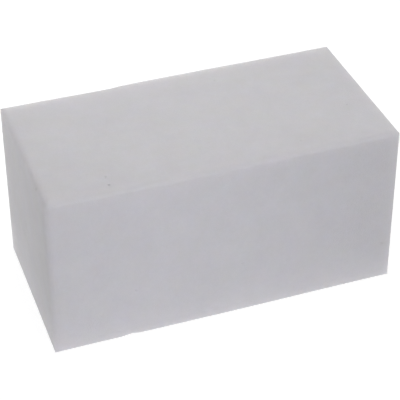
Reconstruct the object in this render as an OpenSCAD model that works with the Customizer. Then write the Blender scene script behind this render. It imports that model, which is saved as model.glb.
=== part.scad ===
// Foam block, cut from a larger slab of soft white foam.
// X runs along the length, -Y is the front, +Z is up. The origin is the middle of the base.
//
// Every face but the base is one pass of a long blade. The blade is straight, so a face is
// straight along the blade, and it wanders a little as it is fed, so the face waves along the
// feed. The block is a loft: one section after another along the length, skinned to a solid.

/* [Block] */
// Length from end to end, over the high points
length = 200; // [80:1:300]
// Depth from front to back, over the high points
depth = 99; // [50:1:150]
// Height from the base to the high point of the top
height = 99; // [50:1:150]

/* [Blade cuts] */
// How far the front and back dip below their high points
face_dip = 0.3; // [0.1:0.1:1.5]
// How far the top dips below its high point
top_dip = 0.1; // [0.1:0.1:1.5]
// How far the two ends dip below their high points
end_dip = 0.1; // [0.1:0.1:1]
// Length of one wave of the blade's wander
wave_length = 160; // [60:5:300]
// How far each end stands further in at the back than at the front
end_skew = 0.5; // [0:0.1:2]
// How far the left end leans in at the top
end_lean = 0.5; // [0:0.1:2]

/* [Edges] */
// Radius to which the cut edges have softened
edge_radius = 0.5; // [0.3:0.1:2]
// Extra radius where the top edge at the back has crumbled
crumb_radius = 1.2; // [0:0.1:3]
// Distance of the crumbled place from the left end
crumb_place = 64; // [30:1:70]
// Length over which the crumbled place deepens
crumb_length = 37; // [10:1:60]
// Extra radius of the nick in the bottom edge at the front
nick_radius = 1.4; // [0:0.1:3]
// Distance of the nick from the left end
nick_place = 44; // [20:1:70]
// Length of the nick
nick_length = 11; // [4:1:20]

/* [Pores] */
// Width of the largest open pores
pore_d = 0.8; // [0.4:0.1:2]

/* [Hidden] */

$fn = 32;

// Where along the length the blade stood furthest out on each long face
front_crest = 0;
back_crest = 15;
top_crest = 5;

// The sections stand this far apart, and each has this many straight steps across its depth
section_step = 4;
depth_steps = 8;
edge_steps = 3;
edge_angles = [for (k = [0 : edge_steps]) 90 * k / edge_steps];

// The far side of the crumbled place rises again within this share of its length
crumb_return = 0.2;

// The skin's underside stands this far below the base, which is then cut flat across it
base_trim = edge_radius / 16;

// The blade took the larger half of each pore's cell, so its centre stands this far out of the face
pore_rise = pore_d / 8;

// Open pores, as distances along a face and across it. A negative distance is measured from
// the right end, the back or the top, and a positive one from the left end, the front or the base.
top_pores = [[37.4, 8.5], [38, 15.6], [-14.8, 36.8]];
front_pores = [[-5, 24]];
left_pores = [[19.2, -1.2]];
right_pores = [[28, -38], [-20, 17]];
back_pores = [[58, 31], [-47, -22], [-12, 64]];

// How far the blade cut below the high points, at a place along its feed
function wander(place, dip, crest) = dip * (1 - cos(360 * (place - crest) / wave_length)) / 2;

function front_y(x) = -depth / 2 + wander(x, face_dip, front_crest);
function back_y(x) = depth / 2 - wander(x, face_dip, back_crest);
function top_z(x) = height - wander(x, top_dip, top_crest);

// How far an end stands in from its front edge, where the blade entered
function end_inset(y) = wander(y, end_dip, -depth / 2) + end_skew * (y / depth + 1 / 2);
function right_x(y) = length / 2 - end_inset(y);
function left_x(y, z) = -length / 2 + end_inset(y) + end_lean * z / height;

// A worn place in an edge: 0 away from it and 1 at its deepest point
function worn(x, place, before, after) = max(0, 1 - (x < place ? (place - x) / before : (x - place) / after));

function top_back_radius(x) =
    edge_radius
    + crumb_radius * worn(x, crumb_place - length / 2, crumb_length, crumb_length * crumb_return);
function front_bottom_radius(x) =
    edge_radius
    + nick_radius * worn(x, nick_place - length / 2, nick_length / 2, nick_length / 2);

// A quarter round, as pairs of the distance from one face and from the next
function quarter(radius) = [for (a = edge_angles) radius * [1 - cos(a), 1 - sin(a)]];

function backwards(list) = [for (i = [len(list) - 1 : -1 : 0]) list[i]];

// One side of a section, from front to back: its places across the depth, each with its
// distance from the flat of that side
function side(front, back, front_radius, back_radius) =
    let (
        near = front + front_radius,
        far = back - back_radius
    )
    concat(
        [for (p = quarter(front_radius)) [front + p[0], p[1]]],
        [for (j = [1 : depth_steps - 1]) [near + (far - near) * j / depth_steps, 0]],
        [for (p = backwards(quarter(back_radius))) [back - p[0], p[1]]]
    );

// A point of a section, moved along the length to where the two end faces put it
function placed(share, y, z) = [left_x(y, z) * (1 - share) + right_x(y) * share, y, z];

// The section at a distance from the left end, drawn in by an inset where an end rounds off
function section(distance, inset) =
    let (
        x = distance - length / 2,
        share = distance / length,
        front = front_y(x) + inset,
        back = back_y(x) - inset,
        top = top_z(x) - inset,
        under = side(front, back, front_bottom_radius(x), edge_radius),
        over = backwards(side(front, back, edge_radius, top_back_radius(x)))
    )
    concat(
        [for (p = under) placed(share, p[0], inset + p[1] - base_trim)],
        [for (p = over) placed(share, p[0], top - p[1])]
    );

// Distance from the left end and inset of every section
section_count = ceil((length - 2 * edge_radius) / section_step);
section_gap = (length - 2 * edge_radius) / section_count;
stations = concat(
    quarter(edge_radius),
    [for (i = [1 : section_count - 1]) [edge_radius + section_gap * i, 0]],
    [for (p = backwards(quarter(edge_radius))) [length - p[0], p[1]]]
);

// Skins a row of sections to a closed solid. A section's second half runs back above its
// first half, so the two ends close with strips between the halves.
module skin(sections) {
    ring = len(sections[0]);
    last = (len(sections) - 1) * ring;
    walls = [
        for (i = [0 : len(sections) - 2], j = [0 : ring - 1])
            let (k = (j + 1) % ring)
            [i * ring + j, i * ring + k, (i + 1) * ring + k, (i + 1) * ring + j]
    ];
    left_end = [for (j = [0 : ring / 2 - 2]) [j, ring - 1 - j, ring - 2 - j, j + 1]];
    right_end = [for (f = left_end) [for (i = backwards(f)) last + i]];
    polyhedron(points = [for (s = sections) each s], faces = concat(walls, left_end, right_end));
}

// A distance along a face as a coordinate, from the far side if it is negative
function coordinate(distance, size) = distance < 0 ? size + distance : distance;
function along(distance) = coordinate(distance, length) - length / 2;
function across(distance) = coordinate(distance, depth) - depth / 2;
function up(distance) = coordinate(distance, height);

// Every open pore, at its place on the cut face
pore_centres = concat(
    [for (p = top_pores) [along(p[0]), across(p[1]), top_z(along(p[0])) + pore_rise]],
    [for (p = front_pores) [along(p[0]), front_y(along(p[0])) - pore_rise, up(p[1])]],
    [for (p = back_pores) [along(p[0]), back_y(along(p[0])) + pore_rise, up(p[1])]],
    [for (p = left_pores) [left_x(across(p[0]), up(p[1])) - pore_rise, across(p[0]), up(p[1])]],
    [for (p = right_pores) [right_x(across(p[0])) + pore_rise, across(p[0]), up(p[1])]]
);

module foam_block() {
    color("gainsboro")
        difference() {
            skin([for (s = stations) section(s[0], s[1])]);
            translate([0, 0, -height / 2])
                cube([2 * length, 2 * depth, height], center = true);
            for (centre = pore_centres)
                translate(centre)
                    sphere(d = pore_d);
        }
}

foam_block();
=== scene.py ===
import math

import bmesh
import bpy
import numpy as np
from mathutils import Matrix, Vector, noise


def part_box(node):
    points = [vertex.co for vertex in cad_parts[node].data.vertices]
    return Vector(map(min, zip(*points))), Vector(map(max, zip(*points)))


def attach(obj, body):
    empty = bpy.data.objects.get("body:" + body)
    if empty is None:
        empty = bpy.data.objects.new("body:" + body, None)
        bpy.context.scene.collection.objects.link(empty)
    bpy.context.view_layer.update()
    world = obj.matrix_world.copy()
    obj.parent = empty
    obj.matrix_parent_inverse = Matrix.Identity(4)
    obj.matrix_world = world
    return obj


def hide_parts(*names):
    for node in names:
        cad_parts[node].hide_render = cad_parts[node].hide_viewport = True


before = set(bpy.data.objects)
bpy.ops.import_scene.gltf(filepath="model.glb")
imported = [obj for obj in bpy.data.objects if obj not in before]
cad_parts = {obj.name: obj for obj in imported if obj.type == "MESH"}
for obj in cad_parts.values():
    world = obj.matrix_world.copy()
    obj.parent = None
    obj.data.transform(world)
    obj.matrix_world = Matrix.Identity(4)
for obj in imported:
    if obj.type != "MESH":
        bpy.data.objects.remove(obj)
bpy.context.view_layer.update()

# The block, in metres, in the frame of the solid: X along the length, -Y the front, Z up
MM = 0.001
NODE = "foam_block"
LOW, HIGH = (np.array(corner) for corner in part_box(NODE))
SIZE = HIGH - LOW

# The saw-cut form of the solid, which the foam's mesh keeps
FACE_DIP = 0.3 * MM
TOP_DIP = 0.1 * MM
END_DIP = 0.1 * MM
WAVE_LENGTH = 160 * MM
END_SKEW = 0.5 * MM
END_LEAN = 0.5 * MM
FRONT_CREST = 0
BACK_CREST = 15 * MM
TOP_CREST = 5 * MM
EDGE_RADIUS = 0.5 * MM
CRUMB_RADIUS = 1.2 * MM
CRUMB_PLACE = -36 * MM
CRUMB_BEFORE = 37 * MM
CRUMB_AFTER = 7.4 * MM
NICK_RADIUS = 1.4 * MM
NICK_PLACE = -56 * MM
NICK_HALF = 5.5 * MM

# The mesh is fine in a band along each edge, with steps that widen away from it, and coarser between
EDGE_BAND = 2.4 * MM
EDGE_STEPS = 8
FACE_STEP = 1.2 * MM

# How straight out of a flat side, and of the base, a point has to face to belong to it
SIDE_STRAIGHT = 0.99
BASE_STRAIGHT = 0.999

# How far torn cells leave the surface uneven: over the faces, and more and finer along the edges
FACE_RAGGED = 0.05 * MM
FACE_RAGGED_SIZE = 6 * MM
EDGE_RAGGED = 0.16 * MM
EDGE_RAGGED_SIZE = 1.6 * MM
RAGGED_BAND = 1.5 * MM

# Noise has finer noise on it, with its size and strength as shares of the coarse one's. A seed
# moves the noise by this much
FINE_SIZE = 0.4
FINE_STRENGTH = 0.5
SEED_SHIFT = (13.7, 5.3, 9.1)

# Light leaks round the soft edges, so each face shades over into its neighbours. For the low and
# the high side along X, Y and Z: how strongly it pulls on the faces next to it, and how deep
SHADE_OVER = ((1.05, 0.8, 0.42), (0.0, 0.0, 0.5))
SHADE_WIDTH = ((2 * MM, 3 * MM, 12 * MM), (3 * MM, 3 * MM, 2 * MM))

# Painted rim light: the colour is painted brighter along the right and back edges, in place of the
# bright backdrop showing through the foam: how deep for each, and how much it brightens them
PAINTED_RIM_LIGHT_WIDTH = (2 * MM, 5 * MM)
PAINTED_RIM_LIGHT_DEPTH = 0.08

# The faces with pores, each with the axes along it, across it and out of it, and which way is out
FACE_AXES = {
    "top": (0, 1, 2, 1),
    "front": (0, 2, 1, -1),
    "back": (0, 2, 1, 1),
    "left": (1, 2, 0, -1),
    "right": (1, 2, 0, 1),
}

# Open pores: the large ones as (face, along, across, radius) in millimetres, then small ones by chance
LARGE_PORES = (
    ("top", -62.6, -41.1, 0.42),
    ("top", -62.1, -33.6, 0.28),
    ("top", 84.9, -12.8, 0.33),
    ("front", 94.7, 24.2, 0.42),
    ("right", -21.5, 61.0, 0.35),
    ("right", 29.5, 17.0, 0.3),
    ("back", -42.0, 31.0, 0.35),
    ("back", 53.0, 77.0, 0.3),
    ("back", 88.0, 64.0, 0.3),
)
# How much painted shade darkens the inside of each large and each small pore
LARGE_PORE_SHADE = 0.6
SMALL_PORE_RADIUS = (0.10 * MM, 0.17 * MM)
SMALL_PORE_SHADE = 0.35
SMALL_PORES = 46
SMALL_PORE_MARGIN = 4 * MM
SEED = 7

# The rings of points from a pore's mouth down its cup, as their width and depth in shares of its
# radius, and how far round its centre the face gives way to them
PORE_SIDES = 12
PORE_RINGS = ((1.0, 0.0), (0.97, 0.8), (0.6, 1.5))
PORE_OPENING = 1.2

# A pore right in an edge, as a place on the block in millimetres, which leaves a dent in the edge
EDGE_PORE = (-99.7, -31.4, 98.3)
EDGE_PORE_RADIUS = 1.4 * MM
EDGE_PORE_DEPTH = 0.6 * MM
# Painted shade in the dent
EDGE_PORE_SHADE = 0.6

# The foam's colour, and how deep and how wide each variation of it is, with widths in millimetres
FOAM_COLOUR = (0.590, 0.580, 0.600)
CLOUD_SIZE = 26.0
CLOUD_DEPTH = 0.15
CLOUD_DETAIL = 5.0
CLOUD_ROUGHNESS = 0.9
TINT_SIZE = 12.0
TINT_DEPTH = (0.05, 0.05, 0.11)
TINT_DETAIL = 3.0
TINT_ROUGHNESS = 0.8
CELL_SIZE = 0.45
# Painted shade in the hollow of each cell
PAINTED_CELL_SHADE = 0.05
# Darker along every edge, in patches: partly soil on the edges, partly painted shade
EDGE_SOIL_AND_SHADE_WIDTH = 1.1
EDGE_SOIL_AND_SHADE_DEPTH = 0.01
EDGE_SOIL_AND_SHADE_PATCH_SIZE = 3.0
EDGE_SOIL_AND_SHADE_PATCH_DETAIL = 2.0
EDGE_SOIL_AND_SHADE_LEAST = 0.5
# Painted shade in the pores and the dent, at its strongest
PAINTED_PORE_SHADE = 0.45

# Its relief in millimetres, and the range of its roughness
CELL_RELIEF = 0.1
CLOUD_RELIEF = 0.25
ROUGHNESS = (0.88, 1.0)
GLOSS = 0.2

# The share of the light that sinks in, how deep, and how far each of red, green and blue gets
SCATTER_SHARE = 0.5
LIGHT_DEPTH = 12 * MM
LIGHT_REACH = (1.0, 0.9, 0.85)

# The camera of the photograph
CAMERA_PLACE = (-0.22703, -0.65196, 0.55556)
CAMERA_AZIMUTH = -19.340
CAMERA_ELEVATION = 36.502
CAMERA_ROLL = -0.384
CAMERA_LENS = 135.08
SENSOR_WIDTH = 36.0

# Soft lamps round the block, as name, azimuth, elevation, power in watts and colour
NEUTRAL = (1.0, 1.0, 1.0)
COOL = (0.94, 0.945, 1.0)
LAMP_DISTANCE = 0.42
LAMP_WIDTH = 0.2
LAMPS = (
    ("front_fill", -9, 12, 0.634, COOL),
    ("overhead_softbox", 0, 78, 0.14, NEUTRAL),
    ("right_softbox", 60, 65, 0.375, NEUTRAL),
    ("back_softbox", 180, 65, 0.49, NEUTRAL),
    ("left_softbox", -90, 38, 0.26, NEUTRAL),
    ("back_left_rim", -135, 12, 0.34, NEUTRAL),
    ("back_fill", 165, 4, 0.38, NEUTRAL),
    ("right_fill", 95, 4, 0.22, NEUTRAL),
)

# The light table under the block, the even light from all round, and the floor
TABLE_MARGIN = 0.02
TABLE_WATTS = 0.036
WORLD_LEVEL = 0.2
FLOOR_COLOUR = 0.9
FLOOR_SHADOW = 0.3
FLOOR_WHITE = 0.82
FLOOR_SIZE = 8.0
FLOOR_GAP = 0.2 * MM


def wander(place, dip, crest):
    """How far the blade cut below the high points of a face, at a place along its feed."""
    return dip * (1 - np.cos(2 * math.pi * (place - crest) / WAVE_LENGTH)) / 2


def worn(place, deepest, before, after):
    """0 away from a worn place in an edge, and 1 at its deepest point."""
    reach = np.where(place < deepest, (deepest - place) / before, (place - deepest) / after)
    return np.clip(1 - reach, 0, 1)


def graded(size):
    """Steps from 0 to size, fine in the bands at both ends."""
    band = EDGE_BAND * (np.arange(EDGE_STEPS) / EDGE_STEPS) ** 2
    count = round((size - 2 * EDGE_BAND) / FACE_STEP)
    middle = np.linspace(EDGE_BAND, size - EDGE_BAND, count + 1)
    return np.concatenate([band, middle, size - band[::-1]])


def box_grid():
    """The points and squares of a plain box's surface, on graded steps, with shared corners."""
    steps = [graded(s) for s in SIZE]
    shape = [len(s) for s in steps]
    index = np.full(shape, -1)
    shell = np.zeros(shape, bool)
    shell[[0, -1]] = shell[:, [0, -1]] = shell[:, :, [0, -1]] = True
    places = np.nonzero(shell)
    index[shell] = np.arange(len(places[0]))
    points = np.stack([s[i] for s, i in zip(steps, places)], axis=1) + LOW
    squares = []
    for axis in range(3):
        for end in (0, -1):
            side = np.take(index, end, axis=axis)
            ring = [side[:-1, :-1], side[1:, :-1], side[1:, 1:], side[:-1, 1:]]
            outward = (axis == 1) == (end == 0)
            ring = ring if outward else ring[::-1]
            squares.append(np.stack([r.ravel() for r in ring], axis=1))
    return points, np.concatenate(squares)


def soften(points):
    """Rounds the box's edges, with more where the edge has crumbled or is nicked."""
    x, y, z = points.T
    middle = (LOW + HIGH) / 2
    top_back = (y > middle[1]) & (z > middle[2])
    front_base = (y < middle[1]) & (z < middle[2])
    radius = (
        EDGE_RADIUS
        + top_back * CRUMB_RADIUS * worn(x, CRUMB_PLACE, CRUMB_BEFORE, CRUMB_AFTER)
        + front_base * NICK_RADIUS * worn(x, NICK_PLACE, NICK_HALF, NICK_HALF)
    )[:, None]
    core = np.clip(points, LOW + radius, HIGH - radius)
    away = points - core
    reach = np.linalg.norm(away, axis=1, keepdims=True)
    normals = away / reach
    return core + normals * radius, normals


def cut(points):
    """Moves the rounded box's faces to where the wandering blade cut them."""
    x, y, z = points.T
    share = (points - LOW) / SIZE
    front = LOW[1] + wander(x, FACE_DIP, FRONT_CREST)
    back = HIGH[1] - wander(x, FACE_DIP, BACK_CREST)
    top = HIGH[2] - wander(x, TOP_DIP, TOP_CREST)
    inset = wander(y, END_DIP, LOW[1]) + END_SKEW * share[:, 1]
    left = LOW[0] + inset + END_LEAN * share[:, 2]
    right = HIGH[0] - inset
    low = np.stack([left, front, np.full_like(x, LOW[2])], axis=1)
    high = np.stack([right, back, top], axis=1)
    return low + (high - low) * share


def edge_distance(points):
    """Each point's distance to the nearest edge of the box."""
    gaps = np.sort(np.minimum(points - LOW, HIGH - points), axis=1)
    return gaps[:, 1]


def layered_noise(points, size, seed):
    """Noise from 0 to 1 with features of the given size, and finer ones on it."""
    shift = Vector([seed * s for s in SEED_SHIFT])
    values = []
    for p in map(Vector, points):
        coarse = noise.noise(p / size + shift)
        fine = noise.noise(p / (size * FINE_SIZE) + shift)
        values.append(coarse + FINE_STRENGTH * fine)
    return np.clip(0.5 + 0.5 * np.array(values), 0, 1)


def roughen(points, normals, gap):
    """Sinks the surface a little where cells tore, more along the edges, and never under the base."""
    close = np.exp(-gap / RAGGED_BAND)
    over_faces = layered_noise(points, FACE_RAGGED_SIZE, 1)
    along_edges = layered_noise(points, EDGE_RAGGED_SIZE, 2)
    sink = FACE_RAGGED * over_faces + EDGE_RAGGED * close * along_edges
    resting = normals[:, 2] < -BASE_STRAIGHT
    sink = np.where(resting, 0, sink)
    return points - normals * sink[:, None]


def painted_rim_light(points):
    """How strongly the painted rim light brightens the colour, from 1 at the right and back sides to 0.
    """
    depth = (HIGH - points)[:, :2]
    return np.exp(-depth / np.array(PAINTED_RIM_LIGHT_WIDTH)).max(axis=1)


def dented(points):
    """How deep in the dent of the edge pore each point is, from 0 outside it to 1."""
    away = np.linalg.norm(points - np.array(EDGE_PORE) * MM, axis=1)
    return np.clip(1 - away / EDGE_PORE_RADIUS, 0, 1)


def soft_turn(points, normals):
    """What turns each plain outward direction towards the next face, over the margins of an edge."""
    depth = np.stack([points - LOW, HIGH - points])
    pull = np.array(SHADE_OVER)[:, None] * np.exp(-depth / np.array(SHADE_WIDTH)[:, None])
    turned = pull[1] - pull[0]
    # The right and back sides pull on no other side, and face their own way
    turned[:, :2] += normals[:, :2] > SIDE_STRAIGHT
    return turned / np.linalg.norm(turned, axis=1, keepdims=True) - normals


def shade_softly(mesh):
    """Gives the mesh its soft normals, with its own unevenness kept; the pores have no turn."""
    own = np.empty(3 * len(mesh.vertices))
    turn = np.empty_like(own)
    layer = mesh.attributes["soft_turn"]
    mesh.vertices.foreach_get("normal", own)
    layer.data.foreach_get("vector", turn)
    mixed = (own + turn).reshape(-1, 3)
    mixed /= np.linalg.norm(mixed, axis=1, keepdims=True)
    mesh.normals_split_custom_set_from_vertices(mixed.tolist())
    mesh.attributes.remove(layer)


def all_pores():
    """Every open pore as its face, its place along and across it, its radius and its shade."""
    pores = [
        (face, along * MM, across * MM, radius * MM, LARGE_PORE_SHADE)
        for face, along, across, radius in LARGE_PORES
    ]
    faces = list(FACE_AXES)
    chance = np.random.default_rng(SEED)
    inner_low, inner_high = LOW + SMALL_PORE_MARGIN, HIGH - SMALL_PORE_MARGIN
    for i in range(SMALL_PORES):
        face = faces[i % len(faces)]
        a, b = FACE_AXES[face][:2]
        along = chance.uniform(inner_low[a], inner_high[a])
        across = chance.uniform(inner_low[b], inner_high[b])
        radius = chance.uniform(*SMALL_PORE_RADIUS)
        pores.append((face, along, across, radius, SMALL_PORE_SHADE))
    return pores


def pore_mouth(face, along, across):
    """The centre of a pore's mouth on the cut face, and the direction out of the face."""
    a, b, n, sign = FACE_AXES[face]
    centre = np.zeros(3)
    centre[a] = along
    centre[b] = across
    centre[n] = HIGH[n] if sign > 0 else LOW[n]
    centre[n] = cut(centre[None])[0, n]
    outward = np.zeros(3)
    outward[n] = sign
    return centre, outward


def open_pore(mesh, layer, near, centre, outward, radius, shade):
    """Opens one pore: the mesh's faces near it give way to a ring and a small cup."""
    edge_uses = {}
    for face in near:
        for edge in face.edges:
            edge_uses[edge] = edge_uses.get(edge, 0) + 1
    rim = [edge for edge, uses in edge_uses.items() if uses == 1]
    level = sum((v.co for e in rim for v in e.verts), Vector()) / (2 * len(rim))
    outward = Vector(outward)
    centre = Vector(centre)
    centre += outward * outward.dot(level - centre)
    across = outward.orthogonal().normalized()
    up = outward.cross(across)
    rings = []
    for share, depth in PORE_RINGS:
        ring = []
        for k in range(PORE_SIDES):
            turn = 2 * math.pi * k / PORE_SIDES
            side = across * math.cos(turn) + up * math.sin(turn)
            vert = mesh.verts.new(centre + side * radius * share - outward * radius * depth)
            # The cup's points carry the pore's painted shade, and the mouth none
            vert[layer] = shade if depth else 0.0
            ring.append(vert)
        rings.append(ring)
    ring_edges = [mesh.edges.new((rings[0][k - 1], rings[0][k])) for k in range(PORE_SIDES)]
    bmesh.ops.delete(mesh, geom=list(near), context="FACES")
    bmesh.ops.bridge_loops(mesh, edges=rim + ring_edges)
    for upper, lower in zip(rings, rings[1:]):
        for k in range(PORE_SIDES):
            m = (k + 1) % PORE_SIDES
            mesh.faces.new((upper[k], upper[m], lower[m], lower[k]))
    mesh.faces.new(rings[-1])


def open_all_pores(mesh, corners):
    """Opens every pore in the mesh, whose faces have their corners at the given points."""
    work = bmesh.new()
    work.from_mesh(mesh)
    work.faces.ensure_lookup_table()
    layer = work.verts.layers.float["pore"]
    lowest, highest = corners.min(axis=1), corners.max(axis=1)
    holes = []
    for face, along, across, radius, shade in all_pores():
        centre, outward = pore_mouth(face, along, across)
        away = np.linalg.norm(np.clip(centre, lowest, highest) - centre, axis=1)
        picked = np.nonzero(away < PORE_OPENING * radius)[0]
        holes.append(([work.faces[i] for i in picked.tolist()], centre, outward, radius, shade))
    for hole in holes:
        open_pore(work, layer, *hole)
    bmesh.ops.recalc_face_normals(work, faces=work.faces)
    work.to_mesh(mesh)
    work.free()


def add_layer(mesh, name, values, kind="FLOAT", field="value"):
    """Gives each point of the mesh a named value of its own."""
    layer = mesh.attributes.new(name, kind, "POINT")
    layer.data.foreach_set(field, values.astype(np.float32).ravel())


def foam_mesh():
    """The block's mesh: cut faces, soft ragged edges and open pores."""
    points, squares = box_grid()
    gap = edge_distance(points)
    rounded, normals = soften(points)
    shaped = roughen(cut(rounded), normals, gap)
    dent = dented(shaped)
    shaped -= normals * (dent * EDGE_PORE_DEPTH)[:, None]
    mesh = bpy.data.meshes.new("foam_block_skin")
    mesh.from_pydata(shaped.tolist(), [], squares.tolist())
    add_layer(mesh, "edge_gap", gap)
    add_layer(mesh, "painted_rim_light_share", painted_rim_light(points))
    add_layer(mesh, "pore", dent * EDGE_PORE_SHADE)
    add_layer(mesh, "soft_turn", soft_turn(points, normals), "FLOAT_VECTOR", "vector")
    open_all_pores(mesh, shaped[squares])
    mesh.shade_smooth()
    shade_softly(mesh)
    return mesh


class Tree:
    """A node tree in the making. A value may be a plain one or another node's output."""

    def __init__(self, owner):
        owner.use_nodes = True
        self.nodes = owner.node_tree.nodes
        self.links = owner.node_tree.links
        self.nodes.clear()

    def feed(self, socket, value):
        """Gives a socket its value."""
        if isinstance(value, bpy.types.NodeSocket):
            self.links.new(value, socket)
        else:
            socket.default_value = value

    def add(self, kind, **values):
        """A new node with its sockets fed by name."""
        node = self.nodes.new("ShaderNode" + kind)
        for name, value in values.items():
            self.feed(node.inputs[name.replace("_", " ")], value)
        return node

    def layer(self, name):
        """The value that the mesh's points hold under a name."""
        node = self.nodes.new("ShaderNodeAttribute")
        node.attribute_name = name
        return node.outputs["Fac"]

    def join(self, kind, operation, values):
        """A new node of arithmetic with its sockets fed in order."""
        node = self.nodes.new(kind)
        node.operation = operation
        for socket, value in zip(node.inputs, values):
            self.feed(socket, value)
        return node.outputs[0]

    def maths(self, operation, *values):
        """Arithmetic on numbers."""
        return self.join("ShaderNodeMath", operation, values)

    def vectors(self, operation, *values):
        """Arithmetic on vectors and colours."""
        return self.join("ShaderNodeVectorMath", operation, values)

    def around_one(self, value, depth):
        """A factor that varies by depth around 1 as the value goes from 0 to 1."""
        return self.maths("MULTIPLY_ADD", value, depth, 1 - depth / 2)

    def down_from_one(self, value, depth):
        """A factor that falls from 1 by depth as the value goes from 0 to 1."""
        return self.maths("MULTIPLY_ADD", value, -depth, 1.0)


def foam_material():
    """Soft open-cell foam: fine cells with painted shade in their hollows, faint clouds, edges darkened
    by soil and painted shade, painted shade in the pores, a painted rim light along the right and back
    edges, and light that sinks in.
    """
    made = bpy.data.materials.new("soft_white_foam")
    tree = Tree(made)
    place = tree.vectors("MULTIPLY", tree.add("TexCoord").outputs["Object"], (1 / MM, 1 / MM, 1 / MM))

    # Everything that darkens the foam's colour, from broad clouds down to the painted shade in a single
    # cell's hollow, the edges' soil and painted shade and the pores' painted shade, and the painted rim
    # light that brightens it
    clouds = tree.add(
        "TexNoise",
        Vector=place,
        Scale=1 / CLOUD_SIZE,
        Detail=CLOUD_DETAIL,
        Roughness=CLOUD_ROUGHNESS,
    ).outputs["Fac"]
    cell = tree.add("TexVoronoi", Vector=place, Scale=1 / CELL_SIZE).outputs["Distance"]
    # Each cell's hollow, which sinks in the relief and gets painted shade
    hollow = tree.maths("SUBTRACT", 1.0, tree.maths("MINIMUM", cell, 1.0))
    gap = tree.layer("edge_gap")
    nearness = tree.maths("EXPONENT", tree.maths("MULTIPLY", gap, -1 / (EDGE_SOIL_AND_SHADE_WIDTH * MM)))
    patches = tree.add("TexNoise", Vector=place, Scale=1 / EDGE_SOIL_AND_SHADE_PATCH_SIZE, Detail=EDGE_SOIL_AND_SHADE_PATCH_DETAIL).outputs["Fac"]
    # The darkening along the edges is partly soil and partly painted shade
    edge_soil_and_shade = tree.maths("MULTIPLY", nearness, tree.maths("ADD", patches, EDGE_SOIL_AND_SHADE_LEAST))
    shade = tree.around_one(clouds, CLOUD_DEPTH)
    for value, depth in (
        (hollow, PAINTED_CELL_SHADE),
        (edge_soil_and_shade, EDGE_SOIL_AND_SHADE_DEPTH),
        (tree.layer("pore"), PAINTED_PORE_SHADE),
        # The painted rim light brightens the colour along the right and back edges
        (tree.layer("painted_rim_light_share"), -PAINTED_RIM_LIGHT_DEPTH),
    ):
        shade = tree.maths("MULTIPLY", shade, tree.down_from_one(value, depth))

    # A faint drift of hue, each channel by itself
    drift = tree.add(
        "TexNoise",
        Vector=place,
        Scale=1 / TINT_SIZE,
        Detail=TINT_DETAIL,
        Roughness=TINT_ROUGHNESS,
    )
    level = [1 - depth / 2 for depth in TINT_DEPTH]
    tint = tree.vectors("MULTIPLY_ADD", drift.outputs["Color"], TINT_DEPTH, level)
    colour = tree.vectors("MULTIPLY", tint, FOAM_COLOUR)
    colour = tree.vectors("MULTIPLY", colour, shade)

    # Relief in millimetres, and a dull surface that is a little less dull in places
    relief = tree.maths("MULTIPLY", hollow, -CELL_RELIEF)
    relief = tree.maths("MULTIPLY_ADD", clouds, CLOUD_RELIEF, relief)
    bump = tree.add("Bump", Height=relief, Distance=MM)
    dull = tree.maths("MULTIPLY_ADD", patches, ROUGHNESS[1] - ROUGHNESS[0], ROUGHNESS[0])
    shader = tree.add(
        "BsdfPrincipled",
        Base_Color=colour,
        Roughness=dull,
        Normal=bump.outputs["Normal"],
        Specular_IOR_Level=GLOSS,
        Subsurface_Weight=SCATTER_SHARE,
        Subsurface_Radius=LIGHT_REACH,
        Subsurface_Scale=LIGHT_DEPTH,
    )
    tree.add("OutputMaterial", Surface=shader.outputs["BSDF"])
    return made


def seen_directly(tree):
    """1 for a ray from the camera, a reflection or a see-through surface, and 0 for light on its way."""
    path = tree.add("LightPath").outputs
    glossy_or_clear = tree.maths("MAXIMUM", path["Is Glossy Ray"], path["Is Transmission Ray"])
    return tree.maths("MAXIMUM", path["Is Camera Ray"], glossy_or_clear)


def floor_material():
    """A pale floor that shows as white to the camera and keeps the block's soft shadow."""
    made = bpy.data.materials.new("pale_floor")
    tree = Tree(made)
    lit = tree.add("BsdfDiffuse", Color=(FLOOR_COLOUR, FLOOR_COLOUR, FLOOR_COLOUR, 1))
    shaded = tree.add("BsdfDiffuse", Color=(FLOOR_SHADOW, FLOOR_SHADOW, FLOOR_SHADOW, 1))
    white = tree.add("Emission", Strength=FLOOR_WHITE)
    shown = tree.add("AddShader")
    tree.feed(shown.inputs[0], shaded.outputs["BSDF"])
    tree.feed(shown.inputs[1], white.outputs["Emission"])
    mix = tree.add("MixShader", Fac=seen_directly(tree))
    tree.feed(mix.inputs[1], lit.outputs["BSDF"])
    tree.feed(mix.inputs[2], shown.outputs["Shader"])
    tree.add("OutputMaterial", Surface=mix.outputs["Shader"])
    return made


def make_world():
    """Even light from all round, seen as white by the camera and in reflections."""
    world = bpy.data.worlds.new("studio")
    bpy.context.scene.world = world
    tree = Tree(world)
    level = tree.maths("MULTIPLY_ADD", seen_directly(tree), 1 - WORLD_LEVEL, WORLD_LEVEL)
    background = tree.add("Background", Color=(1, 1, 1, 1), Strength=level)
    tree.add("OutputWorld", Surface=background.outputs["Background"])


def direction(azimuth, elevation):
    """The unit vector from the block towards a place round it; azimuth 0 is the front."""
    a, e = math.radians(azimuth), math.radians(elevation)
    return Vector((math.sin(a) * math.cos(e), -math.cos(a) * math.cos(e), math.sin(e)))


def make_lamp(name, azimuth, elevation, watts, colour):
    """A square soft lamp that looks at the middle of the block."""
    data = bpy.data.lights.new(name, "AREA")
    data.size = LAMP_WIDTH
    data.energy = watts
    data.color = colour
    lamp = bpy.data.objects.new(name, data)
    away = direction(azimuth, elevation)
    lamp.location = Vector((LOW + HIGH) / 2) + away * LAMP_DISTANCE
    lamp.rotation_euler = (-away).to_track_quat("-Z", "Y").to_euler()
    bpy.context.collection.objects.link(lamp)


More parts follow.
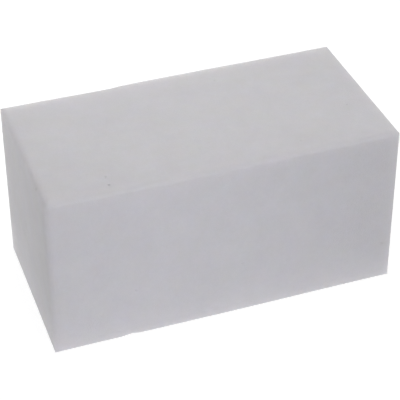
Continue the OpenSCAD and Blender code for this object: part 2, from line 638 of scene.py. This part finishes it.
def make_light_table():
    """A faint panel in the table top, which the block stands on and which lights it from below."""
    data = bpy.data.lights.new("light_table", "AREA")
    data.shape = "RECTANGLE"
    data.size = SIZE[0] + 2 * TABLE_MARGIN
    data.size_y = SIZE[1] + 2 * TABLE_MARGIN
    data.energy = TABLE_WATTS
    panel = bpy.data.objects.new("light_table", data)
    panel.location = (0, 0, LOW[2] - FLOOR_GAP / 2)
    panel.rotation_euler = (math.pi, 0, 0)
    panel.visible_camera = False
    bpy.context.collection.objects.link(panel)


def make_camera():
    """The camera at the photograph's place, angle and lens."""
    data = bpy.data.cameras.new("camera")
    data.sensor_width = SENSOR_WIDTH
    data.lens = CAMERA_LENS
    camera = bpy.data.objects.new("camera", data)
    back = direction(CAMERA_AZIMUTH, CAMERA_ELEVATION)
    right = (-back).cross(Vector((0, 0, 1))).normalized()
    up = right.cross(-back)
    turned = Matrix.Rotation(math.radians(CAMERA_ROLL), 3, back)
    right, up = turned @ right, turned @ up
    turn = Matrix((right, up, back)).transposed().to_4x4()
    camera.matrix_world = Matrix.Translation(CAMERA_PLACE) @ turn
    bpy.context.collection.objects.link(camera)
    bpy.context.scene.camera = camera


def make_floor():
    """The plain floor that the block stands on."""
    mesh = bpy.data.meshes.new("floor")
    half = FLOOR_SIZE / 2
    level = LOW[2] - FLOOR_GAP
    corners = [(x * half, y * half, level) for x, y in ((-1, -1), (1, -1), (1, 1), (-1, 1))]
    mesh.from_pydata(corners, [], [(0, 1, 2, 3)])
    mesh.materials.append(floor_material())
    floor = bpy.data.objects.new("floor", mesh)
    bpy.context.collection.objects.link(floor)


def make_block():
    """The dressed foam block, which stands for the plain solid."""
    mesh = foam_mesh()
    mesh.materials.append(foam_material())
    block = bpy.data.objects.new("foam_block_skin", mesh)
    bpy.context.collection.objects.link(block)
    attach(block, "root")
    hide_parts(NODE)
    return block


make_camera()
make_block()
make_floor()
make_world()
for lamp in LAMPS:
    make_lamp(*lamp)
make_light_table()
bpy.context.scene.view_settings.view_transform = "Standard"
